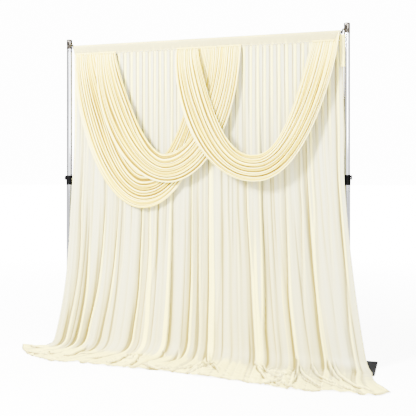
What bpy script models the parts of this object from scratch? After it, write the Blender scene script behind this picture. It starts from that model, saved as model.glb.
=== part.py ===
"""Draped backdrop on a pipe stand.

A gathered panel hangs from a rod pocket on a crossbar between two telescoping uprights and
ends in a train on the floor. Three pleated swags are sewn to the pocket's lower edge.

All sizes are in metres. In the stand's own frame X runs along the crossbar from the middle
of the stand, Y runs from the front to the back with the pole axes at 0, and Z is up from the
floor. An empty then puts the middle of the whole footprint at the origin.
"""

import math

import bmesh
import bpy
import numpy as np

for old in list(bpy.data.objects):
    bpy.data.objects.remove(old, do_unlink=True)

# Stand
POLE_X = 1.2045            # half of the distance between the two pole axes
STAND_TOP = 2.700
PLATE_SIDE = 0.450
PLATE_THICK = 0.006
PLATE_CORNER = 0.020
PIN_LENGTH = 0.110
LOWER_RADIUS = 0.0250
LOWER_BORE = 0.0238
UPPER_RADIUS = 0.0234
UPPER_BORE = 0.0220
UPPER_BOTTOM = 1.200
LOWER_TOP = 1.465
COLLAR_BOTTOM = 1.426
COLLAR_TOP = 1.508
COLLAR_RADIUS = 0.0298
COLLAR_WALL = 0.0254       # the collar's bore where it grips the lower tube
KNOB_HEIGHT = 1.487
KNOB_RADIUS = 0.0205
KNOB_THICK = 0.0095
CAP_BOTTOM = 2.618
CAP_RADIUS = 0.0245
CAP_BORE = 0.0195
CAP_SPIGOT = 0.030
CAP_ROOF = 0.006
SLOT_WIDTH = 0.008
SLOT_BOTTOM = 2.645
SLOT_TOP = 2.677
RIVET_HEIGHT = 2.600
RIVET_RADIUS = 0.006
RIVET_THICK = 0.003
GAP = 0.00035              # between pieces that touch
BORE_GAP = 0.0004          # between round pieces that fit inside each other
TURNS = 18                 # sides of a round piece

# Crossbar
BAR_HEIGHT = 2.6247
BAR_RADIUS = 0.0190
BAR_BORE = 0.0175
BAR_END = 1.160
HOOK_WIDTH = 0.006

# Rod pocket
HEADER_END = 1.156
HEADER_BOTTOM = 2.564
SEAM_TOP = 2.576
SEAM_HALF = 0.0023         # half of the thickness of the sewn edge below the pocket
POCKET_CLOTH = 0.002
POCKET_FLARE = 20          # degrees below level where the cloth leaves the bar
POCKET_APEX = 0.005        # height of the pocket's lowest point over the sewn edge

# Panel
PANEL_CLOTH = 0.002
PANEL_LEFT = -1.156
PANEL_RIGHT = 1.154
PANEL_TOP = HEADER_BOTTOM - GAP
PLEATS = 41
COLUMNS_A_PLEAT = 3
TRAIN_LEFT = -1.6415
TRAIN_RIGHT = 1.5645
TRAIN_FRONT = -0.748

# Swags
SWAG_CLOTH = 0.0015
SWAG_TOP = HEADER_BOTTOM - 2 * GAP
SWAG_PLEATS = 10
COLUMNS_A_SWAG_PLEAT = 2
SWAG_STEPS = 26
CORNER_RISE = 0.076        # the right swag's outer corner is pinned up to the pocket's top
CORNER_START = 0.80
CORNER_OUT = 0.018

# End flap
FLAP_LEFT = 1.150
FLAP_RIGHT = 1.188
FLAP_TOP = 2.607
FLAP_BOTTOM = 2.355
FLAP_CLOTH = 0.0015


def new_material(name, colour, roughness, metallic=0.0):
    material = bpy.data.materials.new(name)
    material.use_nodes = True
    shader = material.node_tree.nodes["Principled BSDF"]
    shader.inputs["Base Color"].default_value = (*colour, 1.0)
    shader.inputs["Roughness"].default_value = roughness
    shader.inputs["Metallic"].default_value = metallic
    return material


IVORY = new_material("ivory_cloth", (0.86, 0.84, 0.76), 0.75)
CREAM = new_material("cream_cloth", (0.92, 0.83, 0.60), 0.70)
SATIN_METAL = new_material("satin_metal", (0.78, 0.79, 0.82), 0.28, 1.0)
CHROME = new_material("chrome", (0.62, 0.58, 0.54), 0.15, 1.0)
BLACK_PLASTIC = new_material("black_plastic", (0.02, 0.02, 0.02), 0.50)
CHARCOAL_STEEL = new_material("charcoal_steel", (0.09, 0.09, 0.09), 0.55, 0.3)

# The footprint runs from the train's two tips and its front edge to the plates' back edges.
stand = bpy.data.objects.new("stand_frame", None)
bpy.context.scene.collection.objects.link(stand)
stand.location = (
    -(TRAIN_LEFT + TRAIN_RIGHT) / 2,
    -(TRAIN_FRONT + PLATE_SIDE / 2) / 2,
    0.0,
)


def add_object(name, mesh, material, location=(0, 0, 0), rotation=(0, 0, 0)):
    piece = bpy.data.objects.new(name, mesh)
    bpy.context.scene.collection.objects.link(piece)
    piece.parent = stand
    piece.location = location
    piece.rotation_euler = rotation
    mesh.materials.append(material)
    return piece


def mesh_from(name, bm, smooth_angle=40):
    bmesh.ops.recalc_face_normals(bm, faces=bm.faces)
    mesh = bpy.data.meshes.new(name)
    bm.to_mesh(mesh)
    bm.free()
    mesh.shade_smooth()
    mesh.set_sharp_from_angle(angle=math.radians(smooth_angle))
    return mesh


def turned(name, profile, closed=True):
    """A round body from (radius, height) points; an open profile ends on the axis."""
    bm = bmesh.new()
    verts = [bm.verts.new((radius, 0, height)) for radius, height in profile]
    ends = verts[1:] + verts[:1] if closed else verts[1:]
    edges = [bm.edges.new(pair) for pair in zip(verts, ends)]
    bmesh.ops.spin(bm, geom=verts + edges, cent=(0, 0, 0), axis=(0, 0, 1),
                   angle=2 * math.pi, steps=TURNS, use_merge=True)
    bmesh.ops.remove_doubles(bm, verts=bm.verts, dist=1e-5)
    return mesh_from(name, bm)


def extruded(name, loops, along):
    """A straight body from one outline, or from an outline and the hole in it."""
    bm = bmesh.new()
    edges = []
    for loop in loops:
        verts = [bm.verts.new(point) for point in loop]
        edges += [bm.edges.new(pair) for pair in zip(verts, verts[1:] + verts[:1])]
    if len(loops) == 1:
        bm.faces.new(bm.verts)
    else:
        bmesh.ops.bridge_loops(bm, edges=edges)
    grown = bmesh.ops.extrude_face_region(bm, geom=list(bm.faces))
    moved = [item for item in grown["geom"] if isinstance(item, bmesh.types.BMVert)]
    bmesh.ops.translate(bm, vec=along, verts=moved)
    return mesh_from(name, bm, 25)


def cloth(name, points, thickness, material):
    """A sheet of even thickness on a grid of points, one row after another."""
    rows, columns = points.shape[:2]
    corner = np.arange(rows * columns).reshape(rows, columns)
    faces = np.stack([corner[:-1, :-1], corner[1:, :-1], corner[1:, 1:], corner[:-1, 1:]], -1)
    mesh = bpy.data.meshes.new(name)
    mesh.from_pydata(points.reshape(-1, 3).tolist(), [], faces.reshape(-1, 4).tolist())
    mesh.shade_smooth()
    sheet = add_object(name, mesh, material)
    solid = sheet.modifiers.new("thickness", "SOLIDIFY")
    solid.thickness = thickness
    solid.offset = 0.0
    solid.use_even_offset = True
    return sheet


def ease(value):
    """0 below 0, 1 above 1, and a smooth step between."""
    value = np.clip(value, 0.0, 1.0)
    return value * value * (3 - 2 * value)


def through(table, column, at):
    """A smooth curve through one column of a table whose first column rises."""
    xs = np.array([row[0] for row in table], float)
    ys = np.array([row[column] for row in table], float)
    slopes = np.gradient(ys, xs)
    at = np.clip(np.asarray(at, float), xs[0], xs[-1])
    left = np.clip(np.searchsorted(xs, at, side="right") - 1, 0, len(xs) - 2)
    width = xs[left + 1] - xs[left]
    part = (at - xs[left]) / width
    return ((2 * part**3 - 3 * part**2 + 1) * ys[left]
            + (part**3 - 2 * part**2 + part) * width * slopes[left]
            + (3 * part**2 - 2 * part**3) * ys[left + 1]
            + (part**3 - part**2) * width * slopes[left + 1])


# The stand

def rounded_square(side, corner, steps=4):
    reach = side / 2 - corner
    outline = []
    for number, (sx, sy) in enumerate(((1, 1), (-1, 1), (-1, -1), (1, -1))):
        for step in range(steps + 1):
            turn = math.pi / 2 * (number + step / steps)
            outline.append((sx * reach + corner * math.cos(turn),
                            sy * reach + corner * math.sin(turn), 0.0))
    return outline


def tube_profile(bore, radius, bottom, top):
    return [(bore, bottom), (radius, bottom), (radius, top), (bore, top)]


def collar_profile():
    return [
        (COLLAR_WALL, COLLAR_BOTTOM),
        (COLLAR_RADIUS - 0.0025, COLLAR_BOTTOM),
        (COLLAR_RADIUS - 0.0013, COLLAR_BOTTOM + 0.004),
        (COLLAR_RADIUS, COLLAR_TOP - 0.008),
        (COLLAR_RADIUS - 0.0015, COLLAR_TOP),
        (UPPER_RADIUS + BORE_GAP, COLLAR_TOP),
        (UPPER_RADIUS + BORE_GAP, LOWER_TOP + 2 * GAP),
        (COLLAR_WALL, LOWER_TOP + 2 * GAP),
    ]


def knob_profile():
    return [
        (0.0, 0.0),
        (KNOB_RADIUS * 0.70, 0.0),
        (KNOB_RADIUS, KNOB_THICK * 0.30),
        (KNOB_RADIUS, KNOB_THICK * 0.60),
        (KNOB_RADIUS * 0.80, KNOB_THICK),
        (0.0, KNOB_THICK),
    ]


def cap_profile():
    spigot = UPPER_BORE - BORE_GAP
    return [
        (CAP_BORE, STAND_TOP - CAP_ROOF),
        (CAP_BORE, CAP_BOTTOM - CAP_SPIGOT),
        (spigot, CAP_BOTTOM - CAP_SPIGOT),
        (spigot, CAP_BOTTOM),
        (CAP_RADIUS, CAP_BOTTOM),
        (CAP_RADIUS, STAND_TOP - 0.003),
        (CAP_RADIUS - 0.003, STAND_TOP),
        (0.0, STAND_TOP),
        (0.0, STAND_TOP - CAP_ROOF),
    ]


def slot_cutter(name, place):
    """A box that cuts one slot through the cap's wall; it is not a piece of the stand."""
    half = SLOT_WIDTH / 2
    outline = [(-half, -half, SLOT_BOTTOM), (half, -half, SLOT_BOTTOM),
               (half, half, SLOT_BOTTOM), (-half, half, SLOT_BOTTOM)]
    cutter = add_object(name, extruded(name, [outline], (0, 0, SLOT_TOP - SLOT_BOTTOM)),
                        CHROME, place)
    cutter.hide_render = True
    cutter.display_type = "WIRE"
    return cutter


def hook_outline(inward):
    """The bar's end hook, from its plug in the bar to its finger inside the cap."""
    plug_half = BAR_BORE * math.cos(math.pi / TURNS) - GAP - 0.0006
    mouth = POLE_X - BAR_END - 0.0004
    plate_top = 2.658
    plate_bottom = 2.617
    reach = [
        (mouth + 0.038, BAR_HEIGHT - plug_half),
        (mouth + 0.038, BAR_HEIGHT + plug_half),
        (mouth, BAR_HEIGHT + plug_half),
        (0.035, plate_top),
        (0.013, plate_top),
        (0.013, SLOT_BOTTOM - 0.009),
        (0.0185, SLOT_BOTTOM - 0.009),
        (0.0185, SLOT_BOTTOM + GAP),
        (0.029, SLOT_BOTTOM + GAP),
        (0.033, plate_bottom),
        (0.043, plate_bottom),
        (mouth, BAR_HEIGHT - plug_half),
    ]
    return [(inward * across, -HOOK_WIDTH / 2, height) for across, height in reach]


def build_upright(side, sign):
    foot = (sign * POLE_X, 0, 0)
    plate = extruded("base_plate", [rounded_square(PLATE_SIDE, PLATE_CORNER)],
                     (0, 0, PLATE_THICK))
    add_object(f"base_plate_{side}", plate, CHARCOAL_STEEL, foot)

    pin_radius = LOWER_BORE - BORE_GAP
    pin_bottom = PLATE_THICK + GAP
    pin = turned("base_pin", [(0, pin_bottom), (pin_radius, pin_bottom),
                              (pin_radius, pin_bottom + PIN_LENGTH),
                              (0, pin_bottom + PIN_LENGTH)], closed=False)
    add_object(f"base_pin_{side}", pin, CHARCOAL_STEEL, foot)

    lower = tube_profile(LOWER_BORE, LOWER_RADIUS, PLATE_THICK + GAP, LOWER_TOP)
    add_object(f"upright_lower_{side}", turned("upright_lower", lower), SATIN_METAL, foot)
    upper = tube_profile(UPPER_BORE, UPPER_RADIUS, UPPER_BOTTOM, CAP_BOTTOM - GAP)
    add_object(f"upright_upper_{side}", turned("upright_upper", upper), SATIN_METAL, foot)

    add_object(f"lock_collar_{side}", turned("lock_collar", collar_profile()),
               BLACK_PLASTIC, foot)
    knob_place = (sign * (POLE_X + COLLAR_RADIUS + GAP), 0, KNOB_HEIGHT)
    add_object(f"lock_knob_{side}", turned("lock_knob", knob_profile(), closed=False),
               BLACK_PLASTIC, knob_place, (0, sign * math.pi / 2, 0))

    cap = add_object(f"slotted_cap_{side}", turned("slotted_cap", cap_profile()), CHROME, foot)
    wall = (CAP_RADIUS + CAP_BORE) / 2
    places = {"front": (sign * POLE_X, -wall, 0), "inner": (sign * (POLE_X - wall), 0, 0)}
    for where, place in places.items():
        cut = cap.modifiers.new(f"slot_{where}", "BOOLEAN")
        cut.operation = "DIFFERENCE"
        cut.object = slot_cutter(f"cutter_{where}_{side}", place)

    rivet = turned("cap_rivet", [(0, 0), (RIVET_RADIUS, 0), (RIVET_RADIUS * 0.8, RIVET_THICK),
                                 (0, RIVET_THICK)], closed=False)
    add_object(f"cap_rivet_{side}", rivet, SATIN_METAL,
               (sign * POLE_X, -UPPER_RADIUS - GAP, RIVET_HEIGHT), (math.pi / 2, 0, 0))

    hook = extruded("bar_hook", [hook_outline(-sign)], (0, HOOK_WIDTH, 0))
    add_object(f"bar_hook_{side}", hook, BLACK_PLASTIC, foot)


def build_crossbar():
    profile = tube_profile(BAR_BORE, BAR_RADIUS, -BAR_END, BAR_END)
    add_object("crossbar", turned("crossbar", profile), SATIN_METAL,
               (0, 0, BAR_HEIGHT), (0, math.pi / 2, 0))


# The rod pocket, with the sewn edge that the panel and the swags hang from

ARC_STEPS = 12


def pocket_arc(radius):
    turns = np.radians(np.linspace(180 + POCKET_FLARE, -POCKET_FLARE, ARC_STEPS + 1))
    return [(-HEADER_END, radius * math.cos(turn), BAR_HEIGHT + radius * math.sin(turn))
            for turn in turns]


def build_header():
    half_step = math.radians(180 + 2 * POCKET_FLARE) / ARC_STEPS / 2
    inner = (BAR_RADIUS + GAP) / math.cos(half_step)
    left = -HEADER_END
    outer_loop = [(left, -SEAM_HALF, HEADER_BOTTOM), (left, -SEAM_HALF, SEAM_TOP),
                  *pocket_arc(inner + POCKET_CLOTH),
                  (left, SEAM_HALF, SEAM_TOP), (left, SEAM_HALF, HEADER_BOTTOM)]
    inner_loop = [(left, 0, SEAM_TOP + POCKET_APEX), *pocket_arc(inner)]
    body = extruded("header_pocket", [outer_loop, inner_loop], (2 * HEADER_END, 0, 0))
    add_object("header_pocket", body, IVORY)


# The panel

FOLD_HEIGHT = 1.21         # the height at which the main folds' places are given
MAIN_FOLDS = [
    # place of the crease along X, depth of the fold
    (-1.100, 0.024), (-0.980, 0.012), (-0.865, 0.030), (-0.750, 0.020), (-0.640, 0.012),
    (-0.530, 0.030), (-0.375, 0.022), (-0.250, 0.026), (-0.080, 0.022), (0.000, 0.014),
    (0.090, 0.012), (0.180, 0.030), (0.330, 0.024), (0.395, 0.014), (0.530, 0.026),
    (0.630, 0.012), (0.725, 0.030), (0.860, 0.024), (0.925, 0.016), (1.040, 0.012),
    (1.140, 0.018),
]
RELIEF = [
    # distance below the pocket, relief of the sewn pleats, share of the main folds
    (0.00, 0.0025, 0.00), (0.06, 0.0060, 0.08), (0.20, 0.0060, 0.22), (0.50, 0.0040, 0.50),
    (0.90, 0.0030, 0.80), (1.30, 0.0020, 0.95), (2.00, 0.0015, 1.00), (2.60, 0.0010, 0.85),
]
SPREAD = [
    # place across the cloth, how far the fold drifts sideways by the floor, how late it does
    (0.00, -0.17, 4.5), (0.14, -0.15, 4.5), (0.28, -0.11, 4.0), (0.55, 0.00, 3.3),
    (0.75, 0.12, 2.8), (0.90, 0.20, 2.4), (1.00, 0.23, 2.2),
]
HEM = [
    # place across the cloth, X and Y of the hem on the floor
    (0.00, TRAIN_LEFT, -0.060), (0.06, -1.434, -0.3085), (0.13, -1.230, -0.425),
    (0.20, -1.0435, -0.474), (0.27, -0.8745, -0.457), (0.37, -0.5145, -0.481),
    (0.45, -0.2455, -0.526), (0.53, 0.0955, -0.573), (0.65, 0.5135, -0.699),
    (0.77, 0.8045, -0.6905), (0.82, 0.9555, TRAIN_FRONT), (0.90, 1.2215, -0.669),
    (0.96, 1.4265, -0.681), (1.00, TRAIN_RIGHT, -0.615),
]
HEAPS = [
    # X, Y, radius and height of the places where the train lies crumpled
    (-0.50, -0.29, 0.10, 0.018), (0.14, -0.42, 0.12, 0.020), (0.75, -0.45, 0.14, 0.022),
]
HANG_ROWS = [0.0, 0.03, 0.10, 0.25, 0.50, 0.78, 1.0]
BEND_ROWS = [1 / 3, 2 / 3, 1.0]
FLOOR_ROWS = [0.5, 1.0]
FLOOR_RELIEF = 0.40        # share of the main folds that is left at the hem
PLATE_CLEAR = 0.0030       # clearance of the cloth over a base plate's edges


def hang(across, height):
    """The middle surface of the hanging cloth, without its folds."""
    drop = (PANEL_TOP - height) / PANEL_TOP
    late = through(SPREAD, 2, across)
    x = PANEL_LEFT + (PANEL_RIGHT - PANEL_LEFT) * across
    x = x + through(SPREAD, 1, across) * drop**late
    left = ease((0.12 - across) / 0.12) * ease((drop - 0.25) / 0.32)
    right = ease((across - 0.88) / 0.12) * ease(drop / 0.35)
    forward = 0.001 + 0.055 * drop**3 + 0.045 * (left + right)
    return np.stack([x, -forward, height + 0 * x], -1)


def resting_height(x, y):
    """How high the cloth's middle lies on the floor, or on a base plate's corner."""
    near = np.zeros_like(x)
    for pole in (-POLE_X, POLE_X):
        reach = np.maximum(np.abs(x - pole), np.abs(y)) - PLATE_SIDE / 2
        near = np.maximum(near, ease(1 - reach / 0.06))
    over = sum(height * np.exp(-((x - hx) ** 2 + (y - hy) ** 2) / radius**2)
               for hx, hy, radius, height in HEAPS)
    return PANEL_CLOTH / 2 + GAP + near * (PLATE_THICK + PLATE_CLEAR) + over


def train_surface(across, row):
    """The middle surface; row runs 0 to 1 hanging, 1 to 2 round the bend, 2 to 3 on the floor."""
    bend = 0.15 + 0.07 * np.abs(2 * across - 1)
    height = PANEL_TOP + (bend - PANEL_TOP) * np.clip(row, 0, 1)
    hanging = hang(across, height)
    foot = hang(across, 0 * across)
    hem = np.stack([through(HEM, 1, across), through(HEM, 2, across), 0 * across], -1)
    run = hem - foot
    length = np.linalg.norm(run, axis=-1)
    start = foot + run * (bend / length)[..., None]
    turn = np.clip(row - 1, 0, 1)[..., None]
    bent = (1 - turn) ** 2 * hanging + 2 * turn * (1 - turn) * foot + turn**2 * start
    lie = np.clip(row - 2, 0, 1)[..., None]
    flat = start + (hem - start) * lie
    surface = np.where(row[..., None] > 2, flat, np.where(row[..., None] > 1, bent, hanging))
    lift = ease(row - 0.9) * resting_height(surface[..., 0], surface[..., 1])
    surface[..., 2] += lift
    return surface


def fold_pattern(across, row, height):
    """How far the folds stand in front of the middle surface, and the most they do so."""
    below = PANEL_TOP - height
    fine = np.linspace(0, 1, 400)
    level = hang(fine, np.full_like(fine, FOLD_HEIGHT))[:, 0]
    places = np.interp([fold[0] for fold in MAIN_FOLDS], level, fine)
    count = np.interp(across, places, np.arange(len(places)))
    count = count - np.clip(places[0] - across, 0, 1) * 9 + np.clip(across - places[-1], 0, 1) * 9
    depth = np.interp(across, places, [fold[1] for fold in MAIN_FOLDS])
    crest = np.abs(np.sin(np.pi * count)) ** 0.75
    share = through(RELIEF, 2, below) * (1 - (1 - FLOOR_RELIEF) * ease(row - 1.6))
    main = depth * share
    pleat = through(RELIEF, 1, below) * np.cos(2 * np.pi * PLEATS * across)
    return main * (crest - 0.55) + pleat, main * 0.55 + through(RELIEF, 1, below)


def surface_normals(points):
    """Unit normals of a grid of points, towards the front and the top."""
    down = np.gradient(points, axis=0)
    right = np.gradient(points, axis=1)
    normal = np.cross(down, right)
    normal /= np.linalg.norm(normal, axis=-1, keepdims=True)
    return normal


def build_panel():
    columns = PLEATS * COLUMNS_A_PLEAT + 1
    rows = HANG_ROWS + [1 + part for part in BEND_ROWS] + [2 + part for part in FLOOR_ROWS]
    row, across = np.meshgrid(rows, np.linspace(0, 1, columns), indexing="ij")
    middle = train_surface(across, row)
    out, most = fold_pattern(across, row, middle[..., 2])
    facing = surface_normals(middle)
    facing[0] = (0, -1, 0)
    folded = middle + facing * out[..., None]
    folded[..., 2] += ease(row - 1.0) * most
    folded[0, :, 2] = PANEL_TOP
    cloth("panel", folded, PANEL_CLOTH, IVORY)


# The swags

SWAGS = {
    # Each edge: X at the left end, the bottom and the right end, and the height of the bottom.
    # Each arm: power of the hanging curve, and how much of an ellipse is in it, inner and outer.
    # Depth: at the left end, at the bottom, at the right end, and how late it grows.
    "swag_long": {
        "inner": (-0.938, -0.4805, -0.003, 1.600),
        "outer": (-1.150, -0.4965, 0.143, 1.2315),
        "left_arm": (1.8, 0.0, 0.85),
        "right_arm": (2.6, 0.0, 0.85),
        "depth": (0.0095, 0.060, 0.0095, 0.70),
        "bulge": 0.018,
    },
    "swag_middle": {
        "inner": (-0.7595, -0.2865, 0.149, 1.682),
        "outer": (-0.934, -0.2565, 0.3515, 1.446),
        "left_arm": (1.75, 0.0, 1.0),
        "right_arm": (2.4, 0.9, 1.0),
        "depth": (0.0130, 0.100, 0.0130, 0.48),
        "bulge": 0.024,
    },
    "swag_right": {
        "inner": (-0.0085, 0.4875, 0.9325, 1.666),
        "outer": (-0.206, 0.4905, 1.150, 1.455),
        "left_arm": (2.3, 0.1, 1.0),
        "right_arm": (2.3, 0.0, 0.5),
        "depth": (0.0130, 0.152, 0.0095, 0.45),
        "bulge": 0.026,
    },
}


def hanging_arm(share, power, round_share):
    """Height over the bottom, as a share of the drop, at a share of the half span."""
    ellipse = 1 - np.sqrt(np.clip(1 - share**2, 0, 1))
    return (1 - round_share) * share**power + round_share * ellipse


def swag_strand(swag, name, across, steps):
    """One line along a swag from its left end to its right end, evenly spaced."""
    inner, outer = np.array(swag["inner"]), np.array(swag["outer"])
    left, low, right, bottom = inner + (outer - inner) * across
    corner = ease((across - CORNER_START) / (1 - CORNER_START)) if name == "swag_right" else 0.0
    points = []
    for end, arm, rise, start in (
        (left, swag["left_arm"], 0.0, swag["depth"][0]),
        (right, swag["right_arm"], CORNER_RISE * corner,
         swag["depth"][2] + CORNER_OUT * corner),
    ):
        share = np.sin(np.linspace(0, math.pi / 2, 160))
        round_share = arm[1] + (arm[2] - arm[1]) * across
        x = low + (end - low) * share
        z = bottom + (SWAG_TOP + rise - bottom) * hanging_arm(share, arm[0], round_share)
        along = np.concatenate([[0], np.cumsum(np.hypot(np.diff(x), np.diff(z)))])
        along /= along[-1]
        even = np.linspace(0, 1, steps // 2 + 1)
        slack = 1 - even
        out = start + (swag["depth"][1] - start) * slack ** swag["depth"][3]
        out = out + swag["bulge"] * slack * math.sin(math.pi * across)
        points.append(np.stack([np.interp(even, along, x), -out, np.interp(even, along, z)], -1))
    return np.concatenate([points[0][::-1], points[1][1:]])


def build_swag(name):
    swag = SWAGS[name]
    columns = SWAG_PLEATS * COLUMNS_A_SWAG_PLEAT
    strands = []
    for column in range(columns + 1):
        across = column / columns
        strand = swag_strand(swag, name, across, SWAG_STEPS)
        slack = 1 - np.abs(np.linspace(-1, 1, SWAG_STEPS + 1))
        edge = 0.5 if column in (0, columns) else 1.0
        relief = edge * (0.0020 + 0.0045 * np.clip(slack / 0.3, 0, 1))
        strand[:, 1] -= relief * math.cos(2 * math.pi * SWAG_PLEATS * across)
        strands.append(strand)
    cloth(name, np.stack(strands, 1), SWAG_CLOTH, CREAM)


def build_swag_tapes(name):
    """The gathered end of a swag is sewn on a tape, against the pocket's sewn edge."""
    swag = SWAGS[name]
    ends = {"left": (swag["outer"][0], swag["inner"][0], swag["depth"][0]),
            "right": (swag["inner"][2], swag["outer"][2], swag["depth"][2])}
    for side, (start, end, depth) in ends.items():
        if name == "swag_right" and side == "right":
            end = start + (end - start) * CORNER_START
        back = -SEAM_HALF - GAP
        top = SEAM_TOP - GAP
        front = -depth + 0.0005
        outline = [(start, back, HEADER_BOTTOM), (start, front, HEADER_BOTTOM),
                   (start, front, top), (start, back, top)]
        add_object(f"{name}_tape_{side}",
                   extruded(f"{name}_tape", [outline], (end - start, 0, 0)), CREAM)


# The short ivory flap at the right end of the pocket

def build_end_flap():
    across = np.linspace(FLAP_LEFT, FLAP_RIGHT, 5)
    heights = np.linspace(FLAP_TOP, FLAP_BOTTOM, 5)
    height, x = np.meshgrid(heights, across, indexing="ij")
    share = (x - FLAP_LEFT) / (FLAP_RIGHT - FLAP_LEFT)
    y = -(0.0172 + 0.0065 * share + 0.002 * np.sin(math.pi * share))
    cloth("end_flap", np.stack([x, y, height], -1), FLAP_CLOTH, IVORY)


build_upright("left", -1)
build_upright("right", 1)
build_crossbar()
build_header()
build_panel()
for swag_name in SWAGS:
    build_swag(swag_name)
    build_swag_tapes(swag_name)
build_end_flap()
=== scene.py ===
import math

import bmesh
import bpy
import numpy as np
from mathutils import Matrix, Vector


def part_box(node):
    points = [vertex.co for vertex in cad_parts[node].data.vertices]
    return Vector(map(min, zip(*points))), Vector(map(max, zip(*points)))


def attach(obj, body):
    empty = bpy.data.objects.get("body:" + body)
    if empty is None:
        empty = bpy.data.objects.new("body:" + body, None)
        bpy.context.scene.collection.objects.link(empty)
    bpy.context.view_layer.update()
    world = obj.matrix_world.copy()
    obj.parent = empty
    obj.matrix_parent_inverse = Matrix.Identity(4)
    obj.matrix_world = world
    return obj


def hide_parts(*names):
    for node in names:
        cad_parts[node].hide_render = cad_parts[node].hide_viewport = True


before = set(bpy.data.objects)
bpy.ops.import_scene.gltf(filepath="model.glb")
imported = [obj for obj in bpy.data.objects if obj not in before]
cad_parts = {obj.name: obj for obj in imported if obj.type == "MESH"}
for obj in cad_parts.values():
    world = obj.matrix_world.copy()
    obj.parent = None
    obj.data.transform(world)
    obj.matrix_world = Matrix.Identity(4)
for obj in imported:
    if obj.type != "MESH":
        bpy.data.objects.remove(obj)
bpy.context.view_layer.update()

stand = {
    "shift": (0.0385, 0.2615),     # from the stand's own frame to the row's, X and Y
    "poleX": 1.2045,
    "tubeSides": 72,
    "lowerBore": 0.0238,
    "upperBore": 0.0220,
    "barBore": 0.0175,
    "capBore": 0.0195,
    "edge": 0.0006,
    "plateEdge": 0.0012,
}


def ease(value):
    value = np.clip(value, 0.0, 1.0)
    return value * value * (3 - 2 * value)


def through(table, column, at):
    # a smooth curve through one column of a table
    xs = np.array([row[0] for row in table], float)
    ys = np.array([row[column] for row in table], float)
    slopes = np.gradient(ys, xs)
    at = np.clip(np.asarray(at, float), xs[0], xs[-1])
    left = np.clip(np.searchsorted(xs, at, side="right") - 1, 0, len(xs) - 2)
    width = xs[left + 1] - xs[left]
    part = (at - xs[left]) / width
    return ((2 * part**3 - 3 * part**2 + 1) * ys[left]
            + (part**3 - 2 * part**2 + part) * width * slopes[left]
            + (3 * part**2 - 2 * part**3) * ys[left + 1]
            + (part**3 - part**2) * width * slopes[left + 1])


def bell(offset, width):
    return np.exp(-(offset / width) ** 2)


def grid(down, across):
    return np.meshgrid(down, across, indexing="ij")


def toRow(points):
    moved = np.array(points, float)
    moved[..., 0] += stand["shift"][0]
    moved[..., 1] += stand["shift"][1]
    return moved


def corners(node):
    # a CAD node's lowest and highest corner
    return [Vector(corner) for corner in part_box(node)]


def inScene(name, data):
    thing = bpy.data.objects.new(name, data)
    bpy.context.scene.collection.objects.link(thing)
    return thing


def addPiece(name, mesh, material, node):
    piece = inScene(name, mesh)
    mesh.materials.append(material)
    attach(piece, "root")
    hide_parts(node)
    return piece


def addCloth(node, points, flat, thickness, material, paintedShade, single=0):
    # a sheet on a grid of points, with its threads' places as UVs, its painted shade and highlight,
    # and where the cloth is a single layer (also used as painted shade), as values for the material
    rows, columns = points.shape[:2]
    corner = np.arange(rows * columns).reshape(rows, columns)
    faces = np.stack([corner[:-1, :-1], corner[1:, :-1], corner[1:, 1:], corner[:-1, 1:]], -1)
    mesh = bpy.data.meshes.new(node + "_cloth")
    mesh.from_pydata(toRow(points).reshape(-1, 3).tolist(), [], faces.reshape(-1, 4).tolist())
    down, across = grid(np.linspace(0, flat[1], rows), np.linspace(0, flat[0], columns))
    threads = np.stack([across.ravel(), down.ravel()], -1)[faces.reshape(-1)]
    layer = mesh.uv_layers.new(name="threads")
    layer.data.foreach_set("uv", threads.ravel())
    for label, values in (("paintedShade", paintedShade), ("single", single + 0 * paintedShade)):
        layer = mesh.attributes.new(label, "FLOAT", "POINT")
        layer.data.foreach_set("value", np.clip(values, 0, 1).ravel())
    mesh.shade_smooth()
    piece = addPiece(node + "_cloth", mesh, material, node)
    solid = piece.modifiers.new("thickness", "SOLIDIFY")
    solid.thickness = thickness
    solid.offset = 0.0
    solid.use_even_offset = True
    return piece


def gridNormals(points):
    down = np.gradient(points, axis=0)
    right = np.gradient(points, axis=1)
    normal = np.cross(down, right)
    return normal / np.linalg.norm(normal, axis=-1, keepdims=True)


def smoothMesh(mesh, edgeAngle):
    mesh.shade_smooth()
    mesh.set_sharp_from_angle(angle=math.radians(edgeAngle))
    return mesh


def meshOf(name, bm, edgeAngle=40):
    bmesh.ops.recalc_face_normals(bm, faces=bm.faces)
    mesh = bpy.data.meshes.new(name)
    bm.to_mesh(mesh)
    bm.free()
    return smoothMesh(mesh, edgeAngle)


def turnedMesh(name, profile, closed=True, sides=None):
    # a round body from (radius, height) points; an open profile ends on the axis
    bm = bmesh.new()
    verts = [bm.verts.new((radius, 0, height)) for radius, height in profile]
    ends = verts[1:] + verts[:1] if closed else verts[1:]
    edges = [bm.edges.new(pair) for pair in zip(verts, ends)]
    bmesh.ops.spin(bm, geom=verts + edges, cent=(0, 0, 0), axis=(0, 0, 1),
                   angle=2 * math.pi, steps=sides or stand["tubeSides"], use_merge=True)
    bmesh.ops.remove_doubles(bm, verts=bm.verts, dist=1e-6)
    return meshOf(name, bm)


def placed(mesh, place, turn=None):
    # bakes a place into a mesh, so that its object sits at the origin
    matrix = Matrix.Translation(Vector(place))
    if turn is not None:
        matrix = matrix @ turn
    mesh.transform(matrix)
    return mesh


def softEdges(piece, width):
    bevel = piece.modifiers.new("edges", "BEVEL")
    bevel.width = width
    bevel.segments = 2
    bevel.limit_method = "ANGLE"
    bevel.angle_limit = math.radians(35)


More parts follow.
